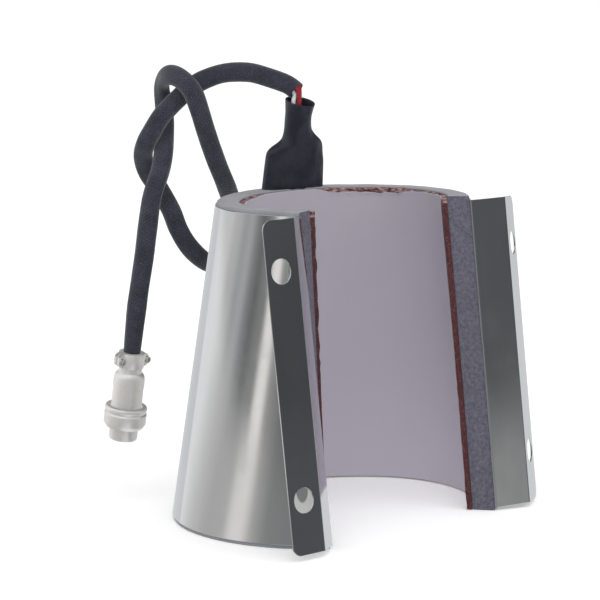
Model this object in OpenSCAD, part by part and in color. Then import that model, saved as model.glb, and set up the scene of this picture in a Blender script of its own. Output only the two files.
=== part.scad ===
// Conical wrap-round heating element of a mug heat press, with its lead and round plug.
// Millimetres. +Z is up, the narrow end is on top and the opening faces -Y.
// The origin is on the surface it stands on, at the middle of the wrap's outline.

/* [Wrap] */
// Height of the steel sheet
wrap_h = 130; // [110:1:140]
// Radius of the flatter back of the sheet, at its bottom edge
back_r = 87; // [80:1:92]
// Radius of the two sides of the sheet, at its bottom edge
side_r = 53; // [50:1:58]
// Radius lost for each millimetre of height
draft = 0.126; // [0.1:0.002:0.13]
// Distance from the middle to the left opening edge
left_gap = 51; // [47:1:54]
// Distance from the middle to the right opening edge
right_gap = 47; // [42:1:50]

/* [Layers] */
// Thickness of the steel sheet
sheet_t = 0.6; // [0.4:0.1:1]
// Thickness of the foam
foam_t = 9.2; // [7:0.1:10]
// Thickness of the heater mat
mat_t = 2; // [1.6:0.1:3]
// Thickness of the smooth inner lining
lining_t = 0.8; // [0.6:0.1:1.5]
// Foam that stands out below the steel
foam_below = 1.5; // [0.5:0.1:3]
// Foam that stands out above the steel
foam_above = 1.5; // [0.5:0.1:3]

/* [Mounting strips] */
// Width of the left web, between the opening edge and the drilled strip
left_web_w = 13.5; // [12:0.1:16]
// Width of the right web
right_web_w = 16.3; // [12:0.1:20]
// Turn from the sheet to the left web
left_fold = 106; // [100:1:115]
// Turn from the sheet to the right web
right_fold = 128; // [120:1:135]
// Width of the drilled strips
strip_w = 16.4; // [16:0.1:18]
// Turn from the web to the left drilled strip
left_turn = 38; // [30:1:60]
// Turn from the web to the right drilled strip
right_turn = 50; // [10:1:60]
// Diameter of the four holes
hole_d = 10; // [6:0.5:10]
// Distance from the strip's free edge to the middle of its lower hole
hole_inset = 7.8; // [7:0.1:8]
// How much nearer the free edge the upper hole is
hole_shift = 0.4; // [0.3:0.1:0.6]
// Distance between the two holes of a strip
hole_pitch = 90; // [70:1:100]
// Height of the middle between the two holes, above the middle of the strip
hole_rise = 1.4; // [0:0.1:3]

/* [Flex] */
// Largest angle that each side bends inwards
close_angle = 18; // [8:1:20]

/* [Lead] */
// Diameter of the woven sleeve
sleeve_d = 7.5; // [7:0.1:7.6]
// Width of the flat part of the shrink boot
boot_w = 32; // [28:1:36]
// Thickness of the flat part of the shrink boot
boot_t = 7.5; // [7:0.5:8]

/* [Plug] */
// Diameter of the coupling ring
ring_d = 18; // [17.5:0.1:20]
// Diameter of the plug's rear shell
shell_d = 13.3; // [13:0.1:13.4]
// Diameter of the plug's nose
nose_d = 12.1; // [11.8:0.1:12.4]

/* [Hidden] */
$fn = 96;

LEFT = -1;
RIGHT = 1;

// Section of the wrap: one flat arc at the back and a rounder arc on each side.
back_half = 45;
side_cx = (back_r - side_r) * sin(back_half);
side_cy_from_spine = -back_r + (back_r - side_r) * cos(back_half);
steel_z = foam_below;
steel_top = steel_z + wrap_h;
foam_top = steel_top + foam_above;
mat_top = foam_top - 0.8;
lining_z = 0.6;
lining_top = foam_top - 0.4;

function shrink(z) = draft * (z - steel_z);
function gap(side) = side < 0 ? left_gap : right_gap;
function web_w(side) = side < 0 ? left_web_w : right_web_w;
function fold(side) = side < 0 ? left_fold : right_fold;
function edge_reach(side, z) = sqrt(pow(side_r - shrink(z), 2) - pow(gap(side) - side_cx, 2));
function edge_turn(side, z) = 180 - asin((gap(side) - side_cx) / (side_r - shrink(z)));

// An opening edge leans back as it rises, because its distance from the middle stays the same.
function edge_lean(side) = atan((edge_reach(side, steel_z) - edge_reach(side, steel_top)) / wrap_h);
function edge_angle(side) = (edge_turn(side, steel_z) + edge_turn(side, steel_top)) / 2;
function edge_h(side) = wrap_h / cos(edge_lean(side));
function web_angle(side) = fold(side) - edge_angle(side);
front_reach = -side_cy_from_spine + edge_reach(RIGHT, steel_z) - web_w(RIGHT) * sin(web_angle(RIGHT));
spine_y = front_reach / 2;
back_cy = spine_y - back_r;
side_cy = spine_y + side_cy_from_spine;
side_sweep = edge_turn(RIGHT, steel_z) - back_half + 12;

// Depth of each layer, measured inwards from the outside of the steel.
foam_in = sheet_t + foam_t;
mat_in = foam_in + mat_t;
lining_in = mat_in + lining_t;
// The inner layers reach a little further round than the steel.
layer_slant = 15;
slope_angle = atan(draft);

// A band between two depths, as a profile of radius and height.
module band_profile(r, depth_a, depth_b, z0, z1)
  polygon([
    [r - shrink(z0) - depth_b, z0],
    [r - shrink(z0) - depth_a, z0],
    [r - shrink(z1) - depth_a, z1],
    [r - shrink(z1) - depth_b, z1]
  ]);

// Places its children on the hinge line of one side, +Y inwards and +Z up the line.
module on_hinge_line(side)
  translate([side * back_r * sin(back_half), back_cy + back_r * cos(back_half), steel_z])
    rotate([0, 0, side > 0 ? 135 : -135])
      rotate([-slope_angle, 0, 0])
        children();

// Wedge-shaped room for one side to bend inwards about its hinge line.
module flex_groove(side) {
  half = 0.3;
  deep = 18;
  grow = deep * tan(close_angle / 2 + 1.2);
  on_hinge_line(side)
    translate([0, 0, -12])
      linear_extrude(wrap_h + 30)
        polygon([[-half, -3], [half, -3], [half, 0], [half + grow, deep], [-half - grow, deep], [-half, 0]]);
}

// Places its children on an opening edge: +X sideways and +Z up the edge.
module on_edge(side)
  mirror([side < 0 ? 1 : 0, 0, 0])
    translate([gap(side), side_cy - edge_reach(side, steel_z), steel_z])
      rotate([-edge_lean(side), 0, 0])
        children();

// Removes what reaches past an opening edge.
module edge_trim(side, slant)
  on_edge(side)
    rotate([0, 0, 90 - edge_angle(side) - slant])
      translate([-60, -60, -20])
        cube([80, 60, wrap_h + 50]);

module back_band(depth_a, depth_b, z0, z1)
  difference() {
    translate([0, back_cy, 0])
      rotate([0, 0, 90 - back_half])
        rotate_extrude(angle = 2 * back_half)
          band_profile(back_r, depth_a, depth_b, z0, z1);
    flex_groove(LEFT);
    flex_groove(RIGHT);
  }

module side_band(side, depth_a, depth_b, z0, z1, slant)
  difference() {
    mirror([side < 0 ? 1 : 0, 0, 0])
      translate([side_cx, side_cy, 0])
        rotate([0, 0, 90 - back_half - side_sweep])
          rotate_extrude(angle = side_sweep)
            band_profile(side_r, depth_a, depth_b, z0, z1);
    flex_groove(side);
    edge_trim(side, slant);
  }

// ---- Steel sheet and its mounting strips ----
module back_sheet() color("silver") back_band(0, sheet_t, steel_z, steel_top);

module side_sheet(side) color("silver") side_band(side, 0, sheet_t, steel_z, steel_top, 0);

// Drilled strip of height h: square at the bend, with two rounded free corners.
module strip_outline(h) {
  corner = 4;
  hole_h = wrap_h / 2 + hole_rise;
  difference() {
    union() {
      square([strip_w - corner, h]);
      translate([0, corner]) square([strip_w, h - 2 * corner]);
      for (y = [corner, h - corner]) translate([strip_w - corner, y]) circle(corner);
    }
    translate([strip_w - hole_inset, hole_h - hole_pitch / 2]) circle(hole_d / 2);
    translate([strip_w - hole_inset + hole_shift, hole_h + hole_pitch / 2]) circle(hole_d / 2);
  }
}

module flange(side, turn) {
  h = edge_h(side);
  fold_r = 0.35;
  bend_r = sheet_t / 2 + 0.05;
  color("lightgray")
    on_edge(side)
      rotate([0, 0, web_angle(side)]) {
        cylinder(r = fold_r, h = h);
        translate([0, -sheet_t / 2, 0]) cube([web_w(side), sheet_t, h]);
        translate([web_w(side), 0, 0]) {
          cylinder(r = bend_r, h = h);
          rotate([0, 0, turn])
            rotate([90, 0, 0])
              linear_extrude(sheet_t, center = true)
                strip_outline(h);
        }
      }
}

// ---- Shrink boot at the back of the rim, leaning with the wall ----
boot_depth = foam_in - boot_t / 2;
boot_buried = 14;
boot_flat = 16;
boot_neck_z = 25;
boot_mouth_z = 38;
boot_neck_r = 5.7;
boot_mouth_r = 6.7;
boot_wall = 1;

// Turn of the boot to the right of the middle of the back, and its neck's place off its middle.
boot_turn = 7.4;
neck_shift = -0.4;

module on_boot()
  translate([0, back_cy, 0])
    rotate([0, 0, -boot_turn])
      translate([0, back_r - shrink(foam_top) - boot_depth, foam_top])
        rotate([slope_angle, 0, 0])
          children();

module boot_flat_outline(inset) {
  r = boot_t / 2 - inset;
  square([boot_w - boot_t, 2 * r], center = true);
  for (x = [-1, 1]) translate([x * (boot_w - boot_t) / 2, 0]) circle(r);
}

module boot_solid(inset, over) {
  translate([0, 0, -boot_buried - over])
    linear_extrude(boot_buried + boot_flat + over)
      boot_flat_outline(inset);
  hull() {
    translate([0, 0, boot_flat - 0.1]) linear_extrude(0.1, $fn = 32) boot_flat_outline(inset);
    translate([neck_shift, 0, boot_neck_z]) cylinder(r = boot_neck_r - inset, h = 0.1, $fn = 32);
  }
  translate([neck_shift, 0, boot_neck_z])
    cylinder(r = boot_neck_r - inset, h = boot_mouth_z - 5 - boot_neck_z);
  translate([neck_shift, 0, boot_mouth_z - 5])
    cylinder(r1 = boot_neck_r - inset, r2 = boot_mouth_r - inset, h = 5 + over);
}

module shrink_boot()
  color("#26282c")
    on_boot()
      difference() {
        boot_solid(0, 0);
        boot_solid(boot_wall, 0.5);
      }

module boot_pocket()
  on_boot()
    translate([0, 0, -boot_buried])
      linear_extrude(boot_buried + 20)
        boot_flat_outline(0);

// ---- Foam ----
module back_foam()
  color("gray")
    difference() {
      back_band(sheet_t, foam_in, 0, foam_top);
      boot_pocket();
    }

module side_foam(side) color("gray") side_band(side, sheet_t, foam_in, 0, foam_top, layer_slant);

// ---- Heater mat, with a flat element that runs up and down inside it ----
element_w = 1.6;
element_t = 0.6;
element_depth = foam_in + mat_t / 2;
element_low = 9;
element_high = foam_top - 17;
back_run_step = 5.2;
side_run_step = 8.2;
back_runs = 7;
side_runs = 9;
side_first_run = 54;

// One upright run of the element on an arc of radius r, at turn t from the spine.
module element_run(r, t)
  rotate([0, 0, -t])
    translate([0, r - shrink(element_low) - element_depth, element_low])
      rotate([slope_angle, 0, 0])
        translate([-element_w / 2, -element_t / 2, 0])
          cube([element_w, element_t, (element_high - element_low) / cos(slope_angle)]);

// One bend of the element, from turn t to turn t + step.
module element_bend(r, t, step, z) {
  mid_r = r - shrink(z) - element_depth;
  rotate([0, 0, 90 - t - step - 0.6])
    rotate_extrude(angle = step + 1.2)
      translate([mid_r - element_t / 2, z - element_w / 2])
        square([element_t, element_w]);
}

module element_row(r, first, step, runs) {
  for (i = [0 : runs - 1]) element_run(r, first + i * step);
  for (i = [0 : runs - 2])
    element_bend(r, first + i * step, step, i % 2 == 0 ? element_high : element_low);
}

module back_element()
  color("goldenrod")
    translate([0, back_cy, 0])
      for (side = [LEFT, RIGHT])
        mirror([side < 0 ? 1 : 0, 0, 0])
          element_row(back_r, back_run_step, back_run_step, back_runs);

module side_element(side)
  color("goldenrod")
    mirror([side < 0 ? 1 : 0, 0, 0])
      translate([side_cx, side_cy, 0])
        element_row(side_r, side_first_run, side_run_step, side_runs);

module back_heater_mat()
  color("firebrick")
    difference() {
      back_band(foam_in, mat_in, 0, mat_top);
      back_element();
      temperature_sensor();
    }

module side_heater_mat(side)
  color("firebrick")
    difference() {
      side_band(side, foam_in, mat_in, 0, mat_top, layer_slant);
      side_element(side);
    }

// Bead and its two fine wires, in the middle of the mat.
module temperature_sensor()
  color("tan")
    translate([0, spine_y - shrink(60) - element_depth, 60])
      rotate([slope_angle, 0, 0]) {
        sphere(r = 0.9, $fn = 32);
        for (x = [-0.7, 0.7]) translate([x, 0, 0]) cylinder(r = 0.25, h = 50, $fn = 16);
      }

// ---- Lining ----
module back_lining() color("#b9b6c2") back_band(mat_in, lining_in, lining_z, lining_top);

module side_lining(side)
  color("#b9b6c2") side_band(side, mat_in, lining_in, lining_z, lining_top, layer_slant);

// ---- Tubes that follow a route ----
function unit(v) = v / norm(v);
function blend(a, b, c, d, u) =
  0.5 * (2 * b + (c - a) * u + (2 * a - 5 * b + 4 * c - d) * u * u + (3 * b - a - 3 * c + d) * u * u * u);
function smooth(p, n) = concat(
  [for (i = [0 : len(p) - 2]) for (k = [0 : n - 1])
    blend(p[max(i - 1, 0)], p[i], p[i + 1], p[min(i + 2, len(p) - 1)], k / n)],
  [p[len(p) - 1]]
);
function along(p, i) = unit(p[min(i + 1, len(p) - 1)] - p[max(i - 1, 0)]);
function rings(p, side, i = 0) =
  i == len(p) ? [] :
  let (t = along(p, i), s = unit(side - (side * t) * t))
  concat([[s, cross(t, s)]], rings(p, s, i + 1));

module tube(p, r, sides) {
  n = len(p);
  f = rings(p, [1, 0.2, 0.1]);
  points = [for (i = [0 : n - 1]) for (k = [0 : sides - 1])
    p[i] + r * (cos(360 * k / sides) * f[i][0] + sin(360 * k / sides) * f[i][1])];
  walls = [for (i = [0 : n - 2]) for (k = [0 : sides - 1])
    let (a = i * sides + k, b = i * sides + (k + 1) % sides)
    [a, a + sides, b + sides, b]];
  start_cap = [[for (k = [0 : sides - 1]) k]];
  end_cap = [[for (k = [0 : sides - 1]) n * sides - 1 - k]];
  polyhedron(points, concat(start_cap, walls, end_cap), convexity = 10);
}

// ---- Leads between the mat and the sleeve ----
lead_r = 1;
splice_r = 1.5;
splice_spread = 5;
splice_z = -10;
splice_len = 12;
bundle_r = 1.7;

module lead_splices()
  color("silver")
    on_boot()
      for (i = [-1.5 : 1 : 1.5])
        translate([i * splice_spread, 0, splice_z])
          cylinder(r = splice_r, h = splice_len, $fn = 32);

// Place of lead i in a square bundle about c, with its diagonals along a and b.
function in_bundle(i, c, a, b) = c + bundle_r * [-a, -b, b, a][i];

// Points of lead i in the boot's frame, from its splice to just inside the sleeve.
function lead_points(i) =
  let (
    spread = (i - 1.5) * splice_spread,
    across = [1, 0, 0],
    deep = [0, 1, 0],
    turned = [0.6, 0, 0.8],
    turned_deep = [0.3, 0.93, -0.22]
  ) [
    [spread, 0, splice_z + splice_len],
    [spread, 0, 10],
    [spread / 2 - 0.4, i - 1.5, 19],
    in_bundle(i, [-1.4, 0.3, 27], across, deep),
    in_bundle(i, [-1.3, 0.9, 34], across, deep),
    in_bundle(i, [-1.1, 1.5, 39], [0.86, 0, 0.5], deep),
    in_bundle(i, [-0.9, 2.3, 42.3], turned, turned_deep),
    in_bundle(i, [-3, 3.4, 44], turned, turned_deep)
  ];

module leads(list)
  on_boot()
    for (i = list) tube(smooth(lead_points(i), 3), lead_r, 8);

module power_leads() color("crimson") leads([1, 3]);

module sensor_leads() color("whitesmoke") leads([0, 2]);

// ---- Woven sleeve, which hangs in one loose loop ----
sleeve_route = [
  [7, 32, 175], [3, 34, 178], [-5, 38, 181], [-12, 43, 183], [-20, 49, 182.5],
  [-27, 54, 179.5], [-33.5, 56.5, 175.5], [-38.5, 57, 172], [-43, 57, 169], [-47.5, 57.5, 165],
  [-51, 59, 159], [-52, 62, 153.5], [-50, 66, 147.5], [-46.5, 67, 140.5], [-44, 62, 133],
  [-43, 56, 125], [-42, 52, 117], [-38, 49, 109], [-30, 49, 103], [-19, 52, 100],
  [-9, 56, 101], [-2, 60, 105], [1, 62, 112], [-2, 62, 120], [-8, 57, 128],
  [-16, 52, 136], [-24, 49, 146], [-31, 47, 157], [-36, 46, 167], [-38.5, 48.5, 176],
  [-40, 55, 181], [-40, 62.5, 181.5], [-37.5, 68.5, 177], [-36.5, 68.5, 168], [-41.5, 62, 158],
  [-48.5, 56, 144.5], [-54, 56, 130], [-60, 53, 110], [-66, 51, 87], [-66, 54, 67]
];

module cable_sleeve() color("#2c2f36") tube(smooth(sleeve_route, 2), sleeve_d / 2, 10);

// ---- Round plug; its own axis runs down from the end of the sleeve ----
plug_top = sleeve_route[len(sleeve_route) - 1];
plug_lean = 8.5;
plug_turn = 175;
clamp_h = 6.5;
neck_z = -8.5;
shoulder_z = -11.8;
shell_end = -25;
ring_top = -23.5;
ring_end = -33;
nose_end = -38.5;
shell_wall = 1.2;
set_screw_r = 0.9;
set_screw_z = -20;
run_gap = 0.07;
lip_end = shell_end + 0.2;
collar_r = 5.6;
nose_flange_r = shell_d / 2 + 0.55;
thread_r = nose_flange_r + 0.3;

module on_plug()
  translate(plug_top)
    rotate([plug_lean, 0, 0])
      rotate([0, 0, plug_turn])
        children();

// Half of the collar that grips the sleeve, with an ear on each side.
module collar_half() {
  difference() {
    union() {
      translate([0, 0, -clamp_h]) cylinder(r = collar_r, h = clamp_h);
      translate([-7.6, 0, -clamp_h + 0.8]) cube([15.2, 2.2, clamp_h - 1.6]);
    }
    translate([0, 0, -clamp_h - 1]) cylinder(r = sleeve_d / 2, h = clamp_h + 2);
    translate([-10, -10, -clamp_h - 1]) cube([20, 10.2, clamp_h + 2]);
    for (x = [-1, 1])
      translate([x * 6.4, -1, -clamp_h / 2]) rotate([-90, 0, 0]) cylinder(r = 0.8, h = 5);
  }
}

module plug_rear_shell()
  color("gainsboro")
    on_plug() {
      difference() {
        rotate_extrude()
          polygon([
            [3.2, -clamp_h], [5, -clamp_h], [5, neck_z], [shell_d / 2, shoulder_z],
            [shell_d / 2, shell_end], [shell_d / 2 - shell_wall, shell_end],
            [shell_d / 2 - shell_wall, shoulder_z - 0.6], [3.2, neck_z]
          ]);
        translate([0, -shell_d / 2 - 1, set_screw_z])
          rotate([-90, 0, 0]) cylinder(r = set_screw_r, h = shell_wall + 2);
      }
      mirror([0, 1, 0]) collar_half();
    }

module plug_cable_clamp() color("gainsboro") on_plug() collar_half();

module plug_clamp_screws()
  color("silver")
    on_plug()
      for (x = [-1, 1])
        translate([x * 6.4, 0, -clamp_h / 2])
          rotate([-90, 0, 0]) {
            translate([0, 0, -2.4]) cylinder(r = 0.8, h = 4.8);
            difference() {
              translate([0, 0, 2.2]) cylinder(r = 1.5, h = 1.2);
              translate([-0.25, -2, 2.9]) cube([0.5, 4, 1]);
            }
          }

module plug_set_screw()
  color("silver")
    on_plug()
      translate([0, 0.1 - shell_d / 2, set_screw_z])
        rotate([-90, 0, 0]) cylinder(r = set_screw_r, h = shell_wall);

module plug_coupling_ring()
  color("gainsboro")
    on_plug()
      rotate_extrude()
        polygon([
          [shell_d / 2 + run_gap, ring_top], [ring_d / 2 - 0.8, ring_top], [ring_d / 2, ring_top - 0.8],
          [ring_d / 2, ring_end + 1.8], [ring_d / 2 - 1.2, ring_end], [thread_r, ring_end],
          [thread_r, lip_end], [shell_d / 2 + run_gap, lip_end]
        ]);

module plug_nose()
  color("gainsboro")
    on_plug()
      rotate_extrude()
        polygon([
          [nose_d / 2 - 1, shell_end], [nose_flange_r, shell_end], [nose_flange_r, shell_end - 2],
          [nose_d / 2, shell_end - 2], [nose_d / 2, nose_end + 0.4], [nose_d / 2 - 0.4, nose_end],
          [nose_d / 2 - 1, nose_end]
        ]);

contact_ring_r = 2.6;
contact_r = 0.9;

module contact_rods(r, z0, z1)
  for (a = [45 : 90 : 315])
    rotate([0, 0, a]) translate([contact_ring_r, 0, z0]) cylinder(r = r, h = z1 - z0, $fn = 24);

module plug_insulator()
  color("dimgray")
    on_plug()
      difference() {
        translate([0, 0, nose_end + 5]) cylinder(r = nose_d / 2 - 1, h = 6.5);
        contact_rods(contact_r, nose_end, shell_end);
      }

module plug_contacts()
  color("gold")
    on_plug()
      difference() {
        contact_rods(contact_r, nose_end + 4.5, shell_end + 1.5);
        contact_rods(0.5, nose_end + 4, nose_end + 9);
      }

back_sheet();
side_sheet(LEFT);  // left_sheet
side_sheet(RIGHT);  // right_sheet
flange(LEFT, left_turn);  // left_flange
flange(RIGHT, right_turn);  // right_flange
back_foam();
side_foam(LEFT);  // left_foam
side_foam(RIGHT);  // right_foam
back_heater_mat();
side_heater_mat(LEFT);  // left_heater_mat
side_heater_mat(RIGHT);  // right_heater_mat
back_element();  // back_heating_element
side_element(LEFT);  // left_heating_element
side_element(RIGHT);  // right_heating_element
back_lining();
side_lining(LEFT);  // left_lining
side_lining(RIGHT);  // right_lining
temperature_sensor();
lead_splices();
power_leads();
sensor_leads();
shrink_boot();
cable_sleeve();
plug_rear_shell();
plug_cable_clamp();
plug_clamp_screws();
plug_set_screw();
plug_coupling_ring();
plug_nose();
plug_insulator();
plug_contacts();
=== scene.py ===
# Conical wrap-round heating element of a mug press, with its lead and round plug.
# Metres. +Z is up, the narrow end is on top and the opening faces -Y.
import math

import bmesh
import bpy
from mathutils import Matrix, Vector, noise
from mathutils.geometry import delaunay_2d_cdt


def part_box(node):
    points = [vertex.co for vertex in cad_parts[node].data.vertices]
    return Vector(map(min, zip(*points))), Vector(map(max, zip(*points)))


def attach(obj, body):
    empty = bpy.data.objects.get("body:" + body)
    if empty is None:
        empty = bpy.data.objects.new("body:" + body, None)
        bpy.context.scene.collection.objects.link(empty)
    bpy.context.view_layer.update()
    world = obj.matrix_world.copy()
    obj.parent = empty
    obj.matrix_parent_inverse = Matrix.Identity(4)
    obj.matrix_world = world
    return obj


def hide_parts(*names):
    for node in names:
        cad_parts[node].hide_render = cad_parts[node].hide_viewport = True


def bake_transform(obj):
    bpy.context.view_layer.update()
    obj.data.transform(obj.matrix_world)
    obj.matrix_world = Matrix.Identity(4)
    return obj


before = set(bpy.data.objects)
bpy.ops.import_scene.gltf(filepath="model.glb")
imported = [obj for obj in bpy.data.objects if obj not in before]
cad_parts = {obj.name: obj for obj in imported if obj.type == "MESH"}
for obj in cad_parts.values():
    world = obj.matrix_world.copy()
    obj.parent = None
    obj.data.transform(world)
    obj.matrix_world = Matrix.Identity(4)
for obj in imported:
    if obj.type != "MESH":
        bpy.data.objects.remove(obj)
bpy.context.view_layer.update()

LEFT, RIGHT = -1, 1
SIDE_NAMES = {LEFT: "left", RIGHT: "right"}

# ---- Dimensions of the wrap, as in the CAD model ----
STEEL_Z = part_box("back_sheet")[0].z
STEEL_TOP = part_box("back_sheet")[1].z
FOAM_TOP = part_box("back_foam")[1].z
SPINE_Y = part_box("back_sheet")[1].y
BACK_R = 0.087
SIDE_R = 0.053
DRAFT = 0.126
EDGE_GAP = {LEFT: 0.051, RIGHT: 0.047}
BACK_HALF = math.radians(45)
SHEET_T = 0.0006
FOAM_T = 0.0092
MAT_T = 0.002
LINING_T = 0.0008
WEB_W = {LEFT: 0.0135, RIGHT: 0.0163}
WEB_FOLD = {LEFT: math.radians(106), RIGHT: math.radians(128)}
STRIP_W = 0.0164
STRIP_TURN = {LEFT: math.radians(38), RIGHT: math.radians(50)}
HOLE_R = 0.005
HOLE_PITCH = 0.09
HOLE_RISE = 0.0014
HOLE_INSET = 0.0078
HOLE_SHIFT = 0.0004
SLOPE = math.atan(DRAFT)

BACK_CY = SPINE_Y - BACK_R
SIDE_CX = (BACK_R - SIDE_R) * math.sin(BACK_HALF)
SIDE_CY = BACK_CY + (BACK_R - SIDE_R) * math.cos(BACK_HALF)


# ---- Camera ----
def make_camera(azimuth, elevation, roll, target, distance, lens):
    a, e, r = map(math.radians, (azimuth, elevation, roll))
    back = Vector((math.sin(a) * math.cos(e), -math.cos(a) * math.cos(e), math.sin(e)))
    right = Vector((math.cos(a), math.sin(a), 0))
    up = back.cross(right)
    x = right * math.cos(r) + up * math.sin(r)
    y = up * math.cos(r) - right * math.sin(r)
    camera = bpy.data.objects.new("camera", bpy.data.cameras.new("camera"))
    camera.data.lens = lens
    camera.data.sensor_width = 36
    camera.data.clip_start = 0.01
    turn = Matrix((x, y, back)).transposed()
    camera.matrix_world = Matrix.Translation(Vector(target) + back * distance) @ turn.to_4x4()
    bpy.context.collection.objects.link(camera)
    bpy.context.scene.camera = camera


make_camera(azimuth=-44.7, elevation=9.2, roll=0.93, target=(-0.0135, 0.0072, 0.0896),
            distance=1.0385, lens=148.2)


# ---- Node materials ----
class Nodes:
    """Short calls that add nodes to one tree; an input is a value or another node's socket."""

    def __init__(self, tree):
        self.tree = tree

    def add(self, kind, inputs=None, **settings):
        node = self.tree.nodes.new(kind)
        for key, value in settings.items():
            setattr(node, key, value)
        for key, value in (inputs or {}).items():
            if isinstance(value, bpy.types.NodeSocket):
                self.tree.links.new(value, node.inputs[key])
            else:
                node.inputs[key].default_value = value
        return node

    def place(self, scale=(1, 1, 1), source="Object"):
        coord = self.add("ShaderNodeTexCoord").outputs[source]
        return self.add("ShaderNodeMapping", {"Vector": coord, "Scale": scale}).outputs["Vector"]

    def noise(self, vector, scale, detail=3, roughness=0.5, distortion=0):
        inputs = {"Vector": vector, "Scale": scale, "Detail": detail, "Roughness": roughness,
                  "Distortion": distortion}
        return self.add("ShaderNodeTexNoise", inputs).outputs["Fac"]

    def ramp(self, value, *stops):
        node = self.add("ShaderNodeValToRGB", {"Fac": value})
        for i, (at, colour) in enumerate(stops):
            if i >= len(node.color_ramp.elements):
                node.color_ramp.elements.new(at)
            node.color_ramp.elements[i].position = at
            node.color_ramp.elements[i].color = (*colour, 1)
        return node.outputs["Color"]

    def levels(self, value, low, high, out_low, out_high):
        inputs = {"Value": value, "From Min": low, "From Max": high, "To Min": out_low, "To Max": out_high}
        return self.add("ShaderNodeMapRange", inputs).outputs["Result"]

    def math(self, operation, a, b=0.0):
        return self.add("ShaderNodeMath", {0: a, 1: b}, operation=operation).outputs[0]

    def mix(self, factor, a, b):
        node = self.add("ShaderNodeMix", {"Factor": factor, "A": a, "B": b}, data_type="RGBA")
        return node.outputs["Result"]


class Shader(Nodes):
    """A material with one Principled shader; its constants are set on the shader's own sockets."""

    def __init__(self, name, **constants):
        self.material = bpy.data.materials.new(name)
        self.material.use_nodes = True
        super().__init__(self.material.node_tree)
        self.bsdf = self.tree.nodes["Principled BSDF"]
        for key, value in constants.items():
            self.bsdf.inputs[key.replace("_", " ").title()].default_value = value

    def bump(self, *heights):
        """Each height is (value, distance in metres)."""
        normal = None
        for value, distance in heights:
            inputs = {"Height": value, "Distance": distance, "Strength": 1.0}
            if normal is not None:
                inputs["Normal"] = normal
            normal = self.add("ShaderNodeBump", inputs).outputs["Normal"]
        self.tree.links.new(normal, self.bsdf.inputs["Normal"])

    def set(self, **links):
        for key, value in links.items():
            self.tree.links.new(value, self.bsdf.inputs[key.replace("_", " ").title()])
        return self.material


def polished_steel():
    s = Shader("polished_steel", metallic=1.0)
    streaks = s.noise(s.place((900, 900, 14)), 1.0, 4)
    smudges = s.noise(s.place(), 42, 4, 0.6)
    waves = s.noise(s.place((60, 60, 7)), 1.0, 1)
    s.bump((waves, 0.00003), (streaks, 0.0000012))
    # Soft upright bands in the tint: a mild painted reflection of the studio's bands, together with an
    # uneven film haze.
    haze_and_reflection_bands = s.noise(s.place((45, 45, 5)), 1.0, 2)
    tint = s.ramp(haze_and_reflection_bands, (0.3, (0.70, 0.71, 0.72)), (0.7, (0.79, 0.80, 0.80)))
    return s.set(base_color=tint, roughness=s.levels(smudges, 0.3, 0.75, 0.05, 0.13))


def foam_skin():
    s = Shader("foam_skin", roughness=0.85, sheen_weight=0.15)
    fine = s.noise(s.place(), 2600, 3)
    broad = s.noise(s.place(), 70, 4)
    s.bump((fine, 0.00012), (broad, 0.0003))
    return s.set(base_color=s.ramp(broad, (0.3, (0.205, 0.205, 0.225)), (0.7, (0.255, 0.255, 0.275))))


def foam_cut():
    s = Shader("foam_cut", roughness=0.95)
    cells = s.add("ShaderNodeTexVoronoi", {"Vector": s.place(), "Scale": 1500.0}).outputs["Distance"]
    patches = s.noise(s.place(), 700, 6, 0.7)
    s.bump((cells, 0.0002), (patches, 0.0004))
    colour = s.ramp(patches, (0.3, (0.060, 0.060, 0.082)), (0.5, (0.098, 0.096, 0.126)),
                    (0.75, (0.155, 0.152, 0.190)))
    return s.set(base_color=colour)


def heater_red():
    """Dark red rubber, with its torn top edge paler and speckled."""
    s = Shader("heater_red", roughness=0.6)
    grain = s.noise(s.place(), 1300, 5, 0.7)
    s.bump((grain, 0.0004))
    cut = s.ramp(grain, (0.3, (0.028, 0.006, 0.008)), (0.55, (0.085, 0.016, 0.018)),
                 (0.8, (0.28, 0.13, 0.13)))
    flecks = s.noise(s.place((1, 1, 2)), 420, 5, 0.6)
    torn_edge = s.ramp(flecks, (0.40, (0.075, 0.020, 0.024)), (0.50, (0.20, 0.10, 0.10)),
                       (0.62, (0.37, 0.27, 0.27)))
    height = s.add("ShaderNodeSeparateXYZ", {"Vector": s.place()}).outputs[2]
    near_top = s.levels(height, FOAM_TOP - 0.0032, FOAM_TOP - 0.0024, 0.0, 1.0)
    return s.set(base_color=s.mix(near_top, cut, torn_edge))


def lining_skin():
    s = Shader("lining_skin", roughness=0.62, sheen_weight=0.1)
    broad = s.noise(s.place((1, 1, 0.6)), 24, 3)
    fine = s.noise(s.place(), 1800, 2)
    s.bump((broad, 0.0005), (fine, 0.00003))
    # The colour is lighter low down and darker towards the top: painted shade. The broad noise adds a random
    # mottle.
    height = s.add("ShaderNodeSeparateXYZ", {"Vector": s.place()}).outputs[2]
    tone = s.math("ADD", s.levels(height, 0.0, 0.13, 0.75, 0.0), s.math("MULTIPLY", broad, 0.25))
    return s.set(base_color=s.ramp(tone, (0.05, (0.33, 0.31, 0.355)), (0.95, (0.51, 0.475, 0.545))))


def shrink_tube():
    s = Shader("shrink_tube", roughness=0.42, coat_weight=0.15, coat_roughness=0.3)
    folds = s.noise(s.place((500, 500, 60)), 1.0, 3)
    broad = s.noise(s.place(), 160, 3)
    s.bump((broad, 0.0006), (folds, 0.0001))
    return s.set(base_color=s.ramp(broad, (0.3, (0.006, 0.008, 0.017)), (0.7, (0.015, 0.018, 0.030))))


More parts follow.
